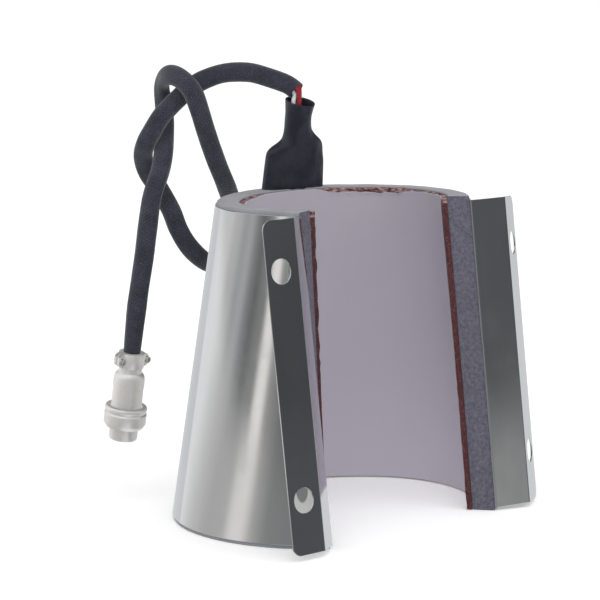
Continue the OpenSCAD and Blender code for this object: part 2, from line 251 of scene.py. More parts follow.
def woven_sleeve():
    """A braid of two sets of crossing threads; the UV map gives turns around and metres along."""
    threads, pitch = 16, 0.0016
    s = Shader("woven_sleeve", roughness=0.55, sheen_weight=0.2)
    uv = s.add("ShaderNodeSeparateXYZ", {"Vector": s.add("ShaderNodeTexCoord").outputs["UV"]})
    around = s.math("MULTIPLY", uv.outputs[0], 2 * math.pi * threads)
    along = s.math("MULTIPLY", uv.outputs[1], 2 * math.pi / pitch)
    first = s.math("SINE", s.math("ADD", around, along))
    second = s.math("SINE", s.math("SUBTRACT", around, along))
    weave = s.math("ADD", s.math("MULTIPLY", s.math("MAXIMUM", first, second), 0.5), 0.5)
    broad = s.noise(s.place(), 180, 3)
    glint_specks = s.noise(s.place(), 1900, 2)
    s.bump((broad, 0.0004), (weave, 0.0002))
    dark = s.ramp(broad, (0.3, (0.011, 0.013, 0.025)), (0.7, (0.024, 0.027, 0.046)))
    # Pale specks on the thread crests, mixed towards pale grey: painted highlight glints.
    light = s.levels(s.math("MULTIPLY", glint_specks, weave), 0.5, 0.7, 0.0, 0.22)
    return s.set(base_color=s.mix(light, dark, (0.22, 0.23, 0.27, 1)))


def wire_insulation(name, deep, bright):
    s = Shader(name, roughness=0.35, coat_weight=0.2)
    tone = s.noise(s.place(), 500, 2)
    s.bump((tone, 0.00008))
    return s.set(base_color=s.ramp(tone, (0.35, deep), (0.65, bright)))


def satin_nickel():
    s = Shader("satin_nickel", metallic=0.72)
    rings = s.noise(s.place((300, 300, 5200)), 1.0, 2)
    broad = s.noise(s.place(), 320, 3)
    s.bump((broad, 0.00001))
    colour = s.ramp(broad, (0.3, (0.92, 0.90, 0.86)), (0.7, (0.98, 0.965, 0.93)))
    return s.set(base_color=colour, roughness=s.levels(rings, 0.3, 0.7, 0.33, 0.40))


def plain_metal(name, deep, bright, roughness):
    s = Shader(name, metallic=1.0)
    tone = s.noise(s.place(), 700, 4)
    s.bump((tone, 0.00004))
    return s.set(base_color=s.ramp(tone, (0.3, deep), (0.7, bright)),
                 roughness=s.levels(tone, 0.3, 0.7, roughness - 0.06, roughness + 0.06))


def moulded_plastic(name, deep, bright, roughness):
    s = Shader(name, roughness=roughness)
    grain = s.noise(s.place(), 1500, 3)
    s.bump((grain, 0.00005))
    return s.set(base_color=s.ramp(grain, (0.3, deep), (0.7, bright)))


STEEL = polished_steel()
FOAM_SKIN = foam_skin()
FOAM_CUT = foam_cut()
HEATER_RED = heater_red()
LINING = lining_skin()
SHRINK = shrink_tube()
SLEEVE = woven_sleeve()
RED_WIRE = wire_insulation("red_wire", (0.20, 0.006, 0.014), (0.33, 0.012, 0.022))
WHITE_WIRE = wire_insulation("white_wire", (0.62, 0.62, 0.66), (0.78, 0.78, 0.80))
NICKEL = satin_nickel()
SCREW = plain_metal("screw_steel", (0.66, 0.65, 0.62), (0.80, 0.79, 0.76), 0.28)
FOIL = plain_metal("element_foil", (0.55, 0.42, 0.26), (0.70, 0.58, 0.40), 0.35)
TIN = plain_metal("tinned_metal", (0.55, 0.55, 0.56), (0.70, 0.70, 0.70), 0.35)
GOLD = plain_metal("gold_contact", (0.75, 0.52, 0.18), (0.88, 0.66, 0.30), 0.22)
INSULATOR = moulded_plastic("black_insulator", (0.012, 0.012, 0.013), (0.030, 0.030, 0.032), 0.5)
SENSOR = moulded_plastic("sensor_bead", (0.35, 0.25, 0.14), (0.50, 0.38, 0.22), 0.3)


# ---- Mesh helpers ----
def piece(name, points, faces, materials, sharp=40, face_materials=None, uv=None):
    mesh = bpy.data.meshes.new(name)
    mesh.from_pydata([tuple(p) for p in points], [], faces)
    for material in materials:
        mesh.materials.append(material)
    if face_materials:
        mesh.polygons.foreach_set("material_index", face_materials)
    if uv:
        layer = mesh.uv_layers.new(name="UVMap")
        for loop in mesh.loops:
            layer.data[loop.index].uv = uv[loop.vertex_index]
    tidy = bmesh.new()
    tidy.from_mesh(mesh)
    bmesh.ops.remove_doubles(tidy, verts=tidy.verts, dist=1e-7)
    bmesh.ops.recalc_face_normals(tidy, faces=tidy.faces)
    tidy.to_mesh(mesh)
    tidy.free()
    mesh.shade_smooth()
    mesh.set_sharp_from_angle(angle=math.radians(sharp))
    obj = bpy.data.objects.new(name, mesh)
    bpy.context.collection.objects.link(obj)
    return obj


def skin(rings, cap_start=True, cap_end=True, closed=True):
    """Points and faces of a surface through rings that have the same number of points."""
    n = len(rings[0])
    points = [p for ring in rings for p in ring]
    faces = []
    for i in range(len(rings) - 1):
        for k in range(n if closed else n - 1):
            a, b = i * n + k, i * n + (k + 1) % n
            faces.append((a, b, b + n, a + n))
    if cap_start:
        faces.append(tuple(reversed(range(n))))
    if cap_end:
        faces.append(tuple(range(len(points) - n, len(points))))
    return points, faces


def joined(*parts):
    """Points and faces of several meshes as one mesh."""
    points, faces = [], []
    for more, more_faces in parts:
        faces += [tuple(len(points) + k for k in face) for face in more_faces]
        points += more
    return points, faces


def spread(start, end, count):
    return [start + (end - start) * i / (count - 1) for i in range(count)]


def angles(count):
    """Evenly spaced angles, once round."""
    return [2 * math.pi * k / count for k in range(count)]


def bell(distance, width):
    return math.exp(-(distance / width) ** 2)


def powered(value, power):
    """A power that keeps the sign, for sections between an ellipse and a rectangle."""
    return math.copysign(abs(value) ** power, value)


def heading_at(path, i):
    return (path[min(i + 1, len(path) - 1)] - path[max(i - 1, 0)]).normalized()


def smooth_path(points, steps):
    """The same curve through the points as in the CAD model."""
    p = [Vector(q) for q in points]
    last = len(p) - 1
    curve = []
    for i in range(last):
        a, b, c, d = p[max(i - 1, 0)], p[i], p[i + 1], p[min(i + 2, last)]
        for k in range(steps):
            u = k / steps
            curve.append(0.5 * (2 * b + (c - a) * u + (2 * a - 5 * b + 4 * c - d) * u * u
                                + (3 * b - a - 3 * c + d) * u ** 3))
    return curve + [p[last]]


def frames_along(path, side):
    """(point, side, across) at each point of a path, turned as little as possible."""
    result = []
    s = Vector(side)
    for i, point in enumerate(path):
        along = heading_at(path, i)
        s = (s - s.dot(along) * along).normalized()
        result.append((point, s, along.cross(s)))
    return result


def lathe(profile, steps=96):
    """Points and faces of a closed (radius, height) profile turned about Z."""
    rings = [[Vector((r * math.cos(a), r * math.sin(a), z)) for r, z in profile] for a in angles(steps)]
    points, faces = skin(rings, False, False)
    n = len(profile)
    first = (steps - 1) * n
    faces += [(first + k, first + (k + 1) % n, (k + 1) % n, k) for k in range(n)]
    return points, faces


def ride_both(obj):
    """Bakes the placement of a half of the wrap into its mesh."""
    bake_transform(obj)


# ---- Places of the boot and the plug ----
SLEEVE_D = 0.0075
BOOT_T = 0.0075
BOOT_BURIED = 0.014
BOOT_DEPTH = SHEET_T + FOAM_T - BOOT_T / 2
RIM_R = BACK_R - DRAFT * (FOAM_TOP - STEEL_Z) - BOOT_DEPTH
ON_BOOT = (Matrix.Translation((0, BACK_CY, 0)) @ Matrix.Rotation(math.radians(-7.4), 4, "Z")
           @ Matrix.Translation((0, RIM_R, FOAM_TOP)) @ Matrix.Rotation(SLOPE, 4, "X"))

# ---- Woven sleeve, which hangs in one loose loop ----
SLEEVE_ROUTE = [
    (0.007, 0.032, 0.175), (0.003, 0.034, 0.178), (-0.005, 0.038, 0.181), (-0.012, 0.043, 0.183),
    (-0.020, 0.049, 0.1825), (-0.027, 0.054, 0.1795), (-0.0335, 0.0565, 0.1755), (-0.0385, 0.057, 0.172),
    (-0.043, 0.057, 0.169), (-0.0475, 0.0575, 0.165), (-0.051, 0.059, 0.159), (-0.052, 0.062, 0.1535),
    (-0.050, 0.066, 0.1475), (-0.0465, 0.067, 0.1405), (-0.044, 0.062, 0.133), (-0.043, 0.056, 0.125),
    (-0.042, 0.052, 0.117), (-0.038, 0.049, 0.109), (-0.030, 0.049, 0.103), (-0.019, 0.052, 0.100),
    (-0.009, 0.056, 0.101), (-0.002, 0.060, 0.105), (0.001, 0.062, 0.112), (-0.002, 0.062, 0.120),
    (-0.008, 0.057, 0.128), (-0.016, 0.052, 0.136), (-0.024, 0.049, 0.146), (-0.031, 0.047, 0.157),
    (-0.036, 0.046, 0.167), (-0.0385, 0.0485, 0.176), (-0.040, 0.055, 0.181), (-0.040, 0.0625, 0.1815),
    (-0.0375, 0.0685, 0.177), (-0.0365, 0.0685, 0.168), (-0.0415, 0.062, 0.158), (-0.0485, 0.056, 0.1445),
    (-0.054, 0.056, 0.130), (-0.060, 0.053, 0.110), (-0.066, 0.051, 0.087), (-0.066, 0.054, 0.067)
]
SLEEVE_STEPS = 6
SLEEVE_HALF_W = 0.0041
SLEEVE_HALF_T = 0.0028
SLEEVE_WALL = 0.0005
SLEEVE_SIDES = 40
# Its mouth is hollow this far in, and cut off at a slant; it folds sharply at one point of the route.
HOLLOW = 0.009
CUT_SLANT = 0.0022
FOLD_AT = 31
# Depths of its random creases, and of the groove along its flat side, which faces this way.
CREASE, GROOVE = 0.00022, 0.0002
FLAT_FACE = Vector((-0.70, -0.71, 0))
ON_PLUG = (Matrix.Translation(SLEEVE_ROUTE[-1]) @ Matrix.Rotation(math.radians(8.5), 4, "X")
           @ Matrix.Rotation(math.radians(175), 4, "Z"))


def sleeve_frames(path):
    """(point, wide direction, thin direction), with the wide side turned to face the front."""
    result = []
    wide = None
    for i, point in enumerate(path):
        along = heading_at(path, i)
        wanted = along.cross(FLAT_FACE)
        if wide is None:
            wide = wanted
        if wanted.dot(wide) < 0:
            wanted = -wanted
        wide = wide + wanted * 0.12
        wide = (wide - wide.dot(along) * along).normalized()
        result.append((point, wide, along.cross(wide)))
    return result


def woven_tube():
    path = smooth_path(SLEEVE_ROUTE, SLEEVE_STEPS)
    frames = sleeve_frames(path)
    lengths = [0.0]
    for a, b in zip(path, path[1:]):
        lengths.append(lengths[-1] + (b - a).length)

    def ring(i, inset):
        point, wide, thin = frames[i]
        along = wide.cross(thin)
        fold = bell(i / SLEEVE_STEPS - FOLD_AT, 1.1)
        grip = bell(lengths[-1] - lengths[i], 0.009)
        mouth = bell(lengths[i], 0.006)
        half_w = SLEEVE_HALF_W * (1 + 0.05 * fold - 0.11 * grip - 0.03 * mouth) - inset
        half_t = SLEEVE_HALF_T * (1 - 0.10 * fold + 0.17 * grip + 0.16 * mouth) - inset
        result = []
        for k in range(SLEEVE_SIDES + 1):
            a = 2 * math.pi * k / SLEEVE_SIDES
            c, s = math.cos(a), math.sin(a)
            out = wide * c + thin * s
            place = Vector((c * 1.4, s * 1.4, lengths[i] / 0.011))
            relief = (CREASE * noise.noise(place) - GROOVE * bell(a - math.pi / 2, 0.22)) * (1 - grip)
            slant = CUT_SLANT * bell(lengths[i], 0.004) * out.dot(FLAT_FACE)
            w, t = half_w * powered(c, 0.85), half_t * powered(s, 0.85)
            result.append(point + wide * w + thin * t + out * relief + along * slant)
        return result

    hollow = [i for i, d in enumerate(lengths) if d < HOLLOW]
    stations = [(i, SLEEVE_WALL) for i in reversed(hollow)] + [(i, 0.0) for i in range(len(path))]
    # Each ring repeats its first point at its end, where the UV map has its seam.
    points, faces = skin([ring(i, inset) for i, inset in stations], False, False, closed=False)
    faces.append(tuple(reversed(range(SLEEVE_SIDES))))
    faces.append(tuple(range(len(points) - SLEEVE_SIDES - 1, len(points) - 1)))
    uv = [(k / SLEEVE_SIDES, lengths[i]) for i, _ in stations for k in range(SLEEVE_SIDES + 1)]
    return piece("woven_sleeve_tube", points, faces, [SLEEVE], sharp=60, uv=uv), path


sleeve, sleeve_path = woven_tube()
sleeve.visible_glossy = False
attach(sleeve, "root")
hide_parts("cable_sleeve")


# ---- Leads between the boot and the sleeve ----
LEAD_R = 0.001
BUNDLE_R = 0.0017
SPLICE_END = 0.002
SPLICE_SPREAD = 0.005


def in_bundle(i, centre, a, b):
    a, b = Vector(a), Vector(b)
    return Vector(centre) + BUNDLE_R * (-a, -b, b, a)[i]


def lead_points(i):
    aside = (i - 1.5) * SPLICE_SPREAD
    across, deep = (1, 0, 0), (0, 1, 0)
    turned, turned_deep = (0.6, 0, 0.8), (0.3, 0.93, -0.22)
    return [
        Vector((aside, 0, SPLICE_END)),
        Vector((aside, 0, 0.010)),
        Vector((aside / 2 - 0.0004, (i - 1.5) * 0.001, 0.019)),
        in_bundle(i, (-0.0014, 0.0003, 0.027), across, deep),
        in_bundle(i, (-0.0013, 0.0009, 0.034), across, deep),
        in_bundle(i, (-0.0011, 0.0015, 0.039), (0.86, 0, 0.5), deep),
        in_bundle(i, (-0.0009, 0.0023, 0.0423), turned, turned_deep),
        in_bundle(i, (-0.0030, 0.0034, 0.044), turned, turned_deep)
    ]


def lead_pair(name, numbers, material, node):
    leads = []
    for i in numbers:
        path = [ON_BOOT @ p for p in smooth_path(lead_points(i), 6)]
        rings = []
        for point, side, across in frames_along(path, (1, 0.2, 0.1)):
            rings.append([point + LEAD_R * (side * math.cos(a) + across * math.sin(a)) for a in angles(20)])
        leads.append(skin(rings))
    obj = piece(name, *joined(*leads), [material], sharp=60)
    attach(obj, "root")
    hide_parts(node)


lead_pair("red_leads", (1, 3), RED_WIRE, "power_leads")
lead_pair("white_leads", (0, 2), WHITE_WIRE, "sensor_leads")


# ---- Plug ----
def plug_piece(name, points, faces, material, slot, body, node, sharp=30):
    obj = piece(name, [ON_PLUG @ Vector(p) for p in points], faces, [material], sharp=sharp)
    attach(obj, body)
    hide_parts(node)
    return obj


def nose_shell():
    """Nose with a rounded rim, and its flange under the coupling ring."""
    r, flange_r, wall = 0.00605, 0.0072, 0.001
    profile = [(r - wall, -0.025), (flange_r, -0.025), (flange_r, -0.027), (r, -0.027)]
    profile += [(r, -0.0376), (0.0059, -0.0382), (0.0056, -0.0385), (0.0053, -0.0385), (r - wall, -0.0383)]
    return lathe(profile, 128)


def ring_band():
    """Coupling ring: a bright bead, a groove, a broad band and a lower bevel."""
    outer, inner, thread = 0.009, 0.00672, 0.0075
    profile = [(inner, -0.0248), (inner, -0.0238), (0.0070, -0.0235), (0.0079, -0.0235)]
    profile += [(0.0086, -0.0237), (0.00893, -0.0242), (outer, -0.0247), (0.00893, -0.0252)]
    profile += [(0.0086, -0.0256), (0.0085, -0.0258), (0.0085, -0.0263), (0.0087, -0.0266)]
    profile += [(outer, -0.0269)]
    profile += [(outer, -0.0310), (0.00885, -0.0314), (0.0079, -0.0329), (0.0077, -0.0330)]
    profile += [(thread, -0.0330), (thread, -0.0248)]
    return lathe(profile, 160)


def rear_shell():
    """Rear shell below the collar: a waist, a rounded shoulder and a body with one fine step."""
    r = 0.00665
    profile = [(0.0032, -0.0065), (0.0049, -0.0065), (0.0050, -0.0067), (0.0050, -0.0083), (0.0051, -0.0087)]
    profile += [(0.0056, -0.0091), (0.0061, -0.0097), (0.0064, -0.0104), (r - 0.0001, -0.0112)]
    profile += [(r, -0.0120), (r, -0.0150), (r - 0.00015, -0.01515)]
    profile += [(r - 0.00015, -0.0246), (r - 0.0004, -0.0250), (r - 0.0012, -0.0250), (r - 0.0012, -0.0124)]
    profile += [(0.0032, -0.0085)]
    return lathe(profile, 128)


COLLAR_R = 0.0056
COLLAR_H = 0.0065
EAR_X, EAR_T = 0.0076, 0.0022
EAR_ROUND_X, EAR_ROUND_R = 0.0046, 0.0034
CLAMP_SCREW_X = 0.0064


def collar_half(sign):
    """Half of the collar, with a rounded ear on each side for a screw."""
    gap, bore, edge, fine = 0.0002, SLEEVE_D / 2 - 0.00002, 0.0004, 0.00012
    meet = math.asin(EAR_T / COLLAR_R)
    outline = [(EAR_X - edge, gap), (EAR_X, gap + edge), (EAR_X, EAR_T - edge), (EAR_X - edge, EAR_T)]
    outline += [(x, EAR_T) for x in spread(EAR_X - 2 * edge, COLLAR_R, 5)]
    outline += [(COLLAR_R * math.cos(a), COLLAR_R * math.sin(a)) for a in spread(meet, math.pi - meet, 40)]
    outline += [(-x, EAR_T) for x in spread(COLLAR_R, EAR_X - 2 * edge, 5)]
    outline += [(edge - EAR_X, EAR_T), (-EAR_X, EAR_T - edge), (-EAR_X, gap + edge), (edge - EAR_X, gap)]
    closing = math.asin(gap / bore)
    outline += [(-x, gap) for x in spread(EAR_X - 2 * edge, bore + edge, 8)]
    outline += [(bore * math.cos(a), bore * math.sin(a)) for a in spread(math.pi - closing, closing, 40)]
    outline += [(x, gap) for x in spread(bore + edge, EAR_X - 2 * edge, 8)]
    rings = []
    for depth, inset in ((0.0, edge), (fine, fine), (edge, 0.0),
                         (COLLAR_H - edge, 0.0), (COLLAR_H - fine, fine), (COLLAR_H, edge)):
        ring = []
        for x, y in outline:
            reach = math.hypot(x, y)
            shrunk = 1 - (inset / reach if reach > bore + edge else 0.0)
            out = min(max((abs(x) - EAR_ROUND_X) / EAR_ROUND_R, 0), 1)
            half_h = COLLAR_H / 2 * math.sqrt(1 - out * out)
            z = (depth - COLLAR_H / 2) * half_h / (COLLAR_H / 2) - COLLAR_H / 2
            ring.append(Vector((x * shrunk, sign * y * shrunk, z)))
        rings.append(ring)
    return skin(rings)


def clamp_screws():
    """Two cheese-head screws with rounded, slotted heads."""
    profile = [(0.0, -0.0024), (0.0008, -0.0024), (0.0008, EAR_T), (0.00135, EAR_T), (0.0015, 0.00235),
               (0.0015, 0.0031), (0.0014, 0.0033), (0.0011, 0.0034), (0.0, 0.0034)]
    slot_from, slot_half_w, slot_deep = 0.0030, 0.00025, 0.0005
    heads = []
    for x in (-CLAMP_SCREW_X, CLAMP_SCREW_X):
        rings = []
        for r, h in profile:
            ring = []
            for a in angles(48):
                px, py = r * math.cos(a), r * math.sin(a)
                deep = slot_deep if h > slot_from and abs(px) < slot_half_w else 0.0
                ring.append(Vector((x + px, h - deep, -COLLAR_H / 2 - py)))
            rings.append(ring)
        heads.append(skin(rings))
    return joined(*heads)


nose = plug_piece("plug_nose_shell", *nose_shell(), NICKEL, "nickel", "root", "plug_nose")
ring = plug_piece("plug_ring_band", *ring_band(), NICKEL, "nickel", "coupling_ring", "plug_coupling_ring")
clamp = plug_piece("plug_clamp_saddle", *collar_half(1), NICKEL, "nickel", "root", "plug_cable_clamp", 25)
screws = plug_piece("plug_clamp_screw_heads", *clamp_screws(), SCREW, "screw_steel", "root",
                    "plug_clamp_screws")


shell_and_collar = joined(rear_shell(), collar_half(-1))
shell = plug_piece("plug_rear_body", *shell_and_collar, NICKEL, "nickel", "root", "plug_rear_shell", 25)
on_plug = [nose, ring, clamp, screws, shell]
on_plug += [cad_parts[n] for n in ("plug_set_screw", "plug_insulator", "plug_contacts")]
# Like the sleeve, the plug stays out of the steel's reflections.
for obj in on_plug:
    obj.visible_glossy = False


# ---- Shrink boot ----
# Height in the boot's frame, left and right edge, half thickness, and how square the section is.
BOOT_SECTIONS = [
    (-0.0140, -0.0158, 0.0158, 0.0037, 3.2), (0.0000, -0.0158, 0.0157, 0.0037, 3.2),
    (0.0120, -0.0153, 0.0146, 0.0037, 3.2), (0.0155, -0.0151, 0.0138, 0.0038, 3.0),
    (0.0170, -0.0144, 0.0136, 0.0039, 2.9), (0.0184, -0.0122, 0.0134, 0.0041, 2.7),
    (0.0203, -0.0085, 0.0126, 0.0044, 2.5), (0.0215, -0.0072, 0.0115, 0.0047, 2.4),
    (0.0234, -0.0065, 0.0087, 0.0050, 2.2), (0.0260, -0.0062, 0.0062, 0.0054, 2.0),
    (0.0290, -0.0061, 0.0053, 0.0056, 2.0), (0.0325, -0.0061, 0.0052, 0.0056, 2.0),
    (0.0360, -0.0064, 0.0059, 0.0061, 2.0), (0.0380, -0.0066, 0.0065, 0.0065, 2.0)
]
BOOT_WALL = 0.0008
# Relief of its surface: ridges over the splices, hollows between them, soft pulls and fine creases.
BOOT_RIDGE, BOOT_HOLLOW = 0.00045, 0.0002
BOOT_PULL, BOOT_CREASE = 0.00028, 0.00010
# The mouth tilts above this height.
BOOT_LIP_Z, BOOT_LIP_TILT = 0.030, 0.0009


def boot_section(z):
    for low, high in zip(BOOT_SECTIONS, BOOT_SECTIONS[1:]):
        if z <= high[0]:
            break
    u = min(max((z - low[0]) / (high[0] - low[0]), 0), 1)
    return [a + (b - a) * u for a, b in zip(low, high)]


def boot_ring(z, inset):
    around = [boot_section(z + d) for d in (-0.0009, -0.0003, 0.0003, 0.0009)]
    _, left, right, half_t, square = [sum(row[i] for row in around) / 4 for i in range(5)]
    middle, half_w = (left + right) / 2, (right - left) / 2 - inset
    ring = []
    for a in angles(72):
        c, s = math.cos(a), math.sin(a)
        x = middle + half_w * powered(c, 2 / square)
        y = (half_t - inset) * powered(s, 2 / square)
        low = 1 - min(max(z / BOOT_LIP_Z, 0), 1)
        over_splices = sum(bell(x - (i - 1.5) * SPLICE_SPREAD, 0.0016) for i in range(4))
        ridges = (BOOT_RIDGE * over_splices - BOOT_HOLLOW) * low
        pull = noise.noise(Vector((x / 0.006 + z / 0.012, s * 0.6, z / 0.016))) * BOOT_PULL
        fine = noise.noise(Vector((x / 0.0022 + z / 0.006, s, z / 0.011 + 5))) * BOOT_CREASE
        y += math.copysign(min(abs(s) * 1.5, 1), s) * (ridges + pull + fine)
        tilt = BOOT_LIP_TILT * max(0.0, (z - BOOT_LIP_Z) / 0.008) * (y / 0.006)
        ring.append(ON_BOOT @ Vector((x, y, z + tilt)))
    return ring


def make_boot():
    top, rim, round_r = BOOT_SECTIONS[-1][0], 0.0004, 0.0001
    rings = [boot_ring(z, 0.0) for z in spread(-BOOT_BURIED, top - rim, 110)]
    rings += [boot_ring(top - round_r, round_r), boot_ring(top, BOOT_WALL / 2)]
    rings += [boot_ring(top - round_r, BOOT_WALL - round_r)]
    rings += [boot_ring(z, BOOT_WALL) for z in spread(top - rim, 0.012, 40)]
    obj = piece("shrink_boot_sleeve", *skin(rings), [SHRINK], sharp=70)
    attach(obj, "root")
    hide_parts("shrink_boot")


make_boot()


# ---- The wrap's surface ----
def shrink(z):
    return DRAFT * (z - STEEL_Z)


def edge_reach(side, z):
    return math.sqrt((SIDE_R - shrink(z)) ** 2 - (EDGE_GAP[side] - SIDE_CX) ** 2)


def edge_turn(side, z):
    return math.pi - math.asin((EDGE_GAP[side] - SIDE_CX) / (SIDE_R - shrink(z)))


def wrap_point(side, turn, depth, z):
    """Point at a turn from the middle of the back, at a depth inwards from the outside of the steel."""
    if turn <= BACK_HALF:
        cx, cy, r = 0.0, BACK_CY, BACK_R
    else:
        cx, cy, r = SIDE_CX, SIDE_CY, SIDE_R
    r -= shrink(z) + depth
    return Vector((side * (cx + r * math.sin(turn)), cy + r * math.cos(turn), z))


SHEET_H = STEEL_TOP - STEEL_Z
EDGE_Y = {side: SIDE_CY - edge_reach(side, STEEL_Z) for side in SIDE_NAMES}
EDGE_LEAN = {side: math.atan((edge_reach(side, STEEL_Z) - edge_reach(side, STEEL_TOP)) / SHEET_H)
             for side in SIDE_NAMES}
EDGE_H = {side: SHEET_H / math.cos(EDGE_LEAN[side]) for side in SIDE_NAMES}
EDGE_TURN = {side: (edge_turn(side, STEEL_Z) + edge_turn(side, STEEL_TOP)) / 2 for side in SIDE_NAMES}


def edge_point(side, x, y, h):
    """Point beside an opening edge: x sideways, y backwards and h up the leaning edge."""
    c, s = math.cos(EDGE_LEAN[side]), math.sin(EDGE_LEAN[side])
    return Vector((side * (EDGE_GAP[side] + x), EDGE_Y[side] + y * c + h * s, STEEL_Z - y * s + h * c))


# ---- Steel sheet with its mounting strips ----
CHAMFER = 0.00012
FOLD_R = 0.00055
BEND_R = 0.0009
FOLD_SHIFT = 0.0007
STRIP_CORNER = 0.004
HOLE_SIDES = 64


def unit(heading):
    return Vector((math.cos(heading), math.sin(heading)))


def left_of(heading):
    return Vector((-math.sin(heading), math.cos(heading)))


def fillet(corner, heading_in, heading_out, radius, steps):
    """Points and headings of an arc that rounds a corner, turning left."""
    turn = heading_out - heading_in
    start = corner - radius * math.tan(turn / 2) * unit(heading_in)
    centre = start + radius * left_of(heading_in)
    headings = [heading_in + turn * k / steps for k in range(steps + 1)]
    return [(centre - radius * left_of(heading), heading) for heading in headings]


STRIP_START = {side: BEND_R * math.tan(STRIP_TURN[side] / 2) + 0.0004 for side in SIDE_NAMES}
HOLE_UP = SHEET_H / 2 + HOLE_RISE
HOLE_MIDDLES = [Vector((STRIP_W - HOLE_INSET, HOLE_UP - HOLE_PITCH / 2)),
                Vector((STRIP_W - HOLE_INSET + HOLE_SHIFT, HOLE_UP + HOLE_PITCH / 2))]


def edge_section(side):
    """Level section beside the edge: points and headings over both bends, the second bend's corner,
    and the strip's heading."""
    arc_heading = math.pi * 2 - EDGE_TURN[side]
    web_heading = arc_heading + WEB_FOLD[side]
    strip_heading = web_heading + STRIP_TURN[side]
    bend_at = WEB_W[side] * unit(web_heading)
    stations = fillet(Vector((-FOLD_SHIFT, 0)), arc_heading, web_heading, FOLD_R, 10)
    stations += fillet(bend_at, web_heading, strip_heading, BEND_R, 6)
    stations.append((bend_at + unit(strip_heading) * STRIP_START[side], strip_heading))
    return stations, bend_at, strip_heading


def edge_heights(side):
    """Heights of the skin's points as parts of the sheet's height, with a chamfer at each end."""
    chamfer = CHAMFER / EDGE_H[side]
    return [0, chamfer] + spread(0.04, 0.96, 13) + [1 - chamfer, 1]


def sheet_rings(side):
    """Rings round the sheet's section, from the middle of the back to just beyond the second bend."""
    half = SHEET_T / 2
    loop = [(v, half - (CHAMFER if v in (0, 1) else 0)) for v in edge_heights(side)]
    loop += [(v, -offset) for v, offset in reversed(loop)]
    fold_reach = FOLD_R * math.tan(WEB_FOLD[side] / 2) + 0.0006
    rings = []
    for u in [0.0, 0.002, 0.006, 0.014] + spread(0.024, 1.0, 150):
        ring = []
        for v, offset in loop:
            z = STEEL_Z + v * SHEET_H
            end = edge_turn(side, z) - fold_reach / (SIDE_R - shrink(z))
            ring.append(wrap_point(side, u * end, half - offset, z))
        rings.append(ring)
    for point, heading in edge_section(side)[0]:
        ring = []
        for v, offset in loop:
            p = point + left_of(heading) * offset
            ring.append(edge_point(side, p.x, p.y, v * EDGE_H[side]))
        rings.append(ring)
    return rings


def strip_outline(side, inset):
    """Outline of the flat strip, as (distance from the bend, height), with its outer corners rounded."""
    r = STRIP_CORNER - inset
    free = STRIP_W - STRIP_CORNER
    heights = [v for v in reversed(edge_heights(side)) if inset == 0 or 0 < v < 1]
    result = [(STRIP_START[side], v * EDGE_H[side]) for v in heights]
    for middle_h, first in ((STRIP_CORNER, -90), (EDGE_H[side] - STRIP_CORNER, 0)):
        for a in map(math.radians, spread(first, first + 90, 13)):
            result.append((free + r * math.cos(a), middle_h + r * math.sin(a)))
    return result


def hole(middle, r):
    return [(middle.x + r * math.cos(a), middle.y + r * math.sin(a)) for a in angles(HOLE_SIDES)]


def strip_plate(side):
    """Flat points and triangles between the strip's outline and its two holes."""
    flat, edges = [], []
    for ring in [strip_outline(side, CHAMFER)] + [hole(m, HOLE_R + CHAMFER) for m in HOLE_MIDDLES]:
        first = len(flat)
        flat += [Vector(p) for p in ring]
        edges += [(first + k, first + (k + 1) % len(ring)) for k in range(len(ring))]
    points, _, triangles, *_ = delaunay_2d_cdt(flat, edges, [], 1, 1e-7)
    in_hole = (HOLE_R + CHAMFER) * math.cos(math.pi / HOLE_SIDES)
    keep = []
    for t in triangles:
        middle = sum((points[i] for i in t), Vector((0, 0))) / len(t)
        if all((middle - m).length > in_hole for m in HOLE_MIDDLES):
            keep.append(t)
    return points, keep


def strip_rims(side):
    """Chamfered line, outer line, and whether they close. Towards the bend the strip has no rim:
    it is welded to the sheet's last ring."""
    inner, outer = strip_outline(side, CHAMFER), strip_outline(side, 0)
    welded = len(edge_heights(side)) - 2
    rims = [(inner[welded - 1:] + inner[:1], outer[welded + 1:] + outer[:1], False)]
    return rims + [(hole(m, HOLE_R + CHAMFER), hole(m, HOLE_R), True) for m in HOLE_MIDDLES]


def drilled_strip(side):
    _, bend_at, heading = edge_section(side)
    half = SHEET_T / 2

    def on_strip(line, offset):
        placed = [bend_at + unit(heading) * w + left_of(heading) * offset for w, _ in line]
        return [edge_point(side, p.x, p.y, h) for p, (_, h) in zip(placed, line)]

    plate, triangles = strip_plate(side)
    parts = [(on_strip(plate, offset), triangles) for offset in (half, -half)]
    for inner, outer, closed in strip_rims(side):
        rows = [on_strip(inner, half), on_strip(outer, half - CHAMFER),
                on_strip(outer, CHAMFER - half), on_strip(inner, -half)]
        parts.append(skin(rows, False, False, closed))
    return joined(*parts)


def steel_half(side):
    """Half of the sheet with its web and its drilled strip, as one skin."""
    points, faces = joined(skin(sheet_rings(side), True, False), drilled_strip(side))
    name = SIDE_NAMES[side]
    obj = piece("steel_wrap_" + name, points, faces, [STEEL], sharp=30)
    ride_both(obj)
    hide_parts(name + "_sheet", name + "_flange", "back_sheet")


# ---- Foam, heater mat and lining ----
# Degrees from the middle of the back between which the rim is torn, and how worn the rest is.
TORN_FROM, TORN_TO, TORN_FADE = 15, 60, 8
WORN = 0.36


def band_loop(depth_out, depth_in, z0, z1, corner, rows, columns):
    """Closed (depth, height) loop of a band's section, with small rounded corners."""
    loop = [(depth_out, z) for z in spread(z0 + corner, z1 - corner, rows)]
    loop += [(d, z1) for d in spread(depth_out + corner, depth_in - corner, columns)]
    loop += [(depth_in, z) for z in spread(z1 - corner, z0 + corner, rows)]
    loop += [(d, z0) for d in spread(depth_in - corner, depth_out + corner, columns)]
    return loop


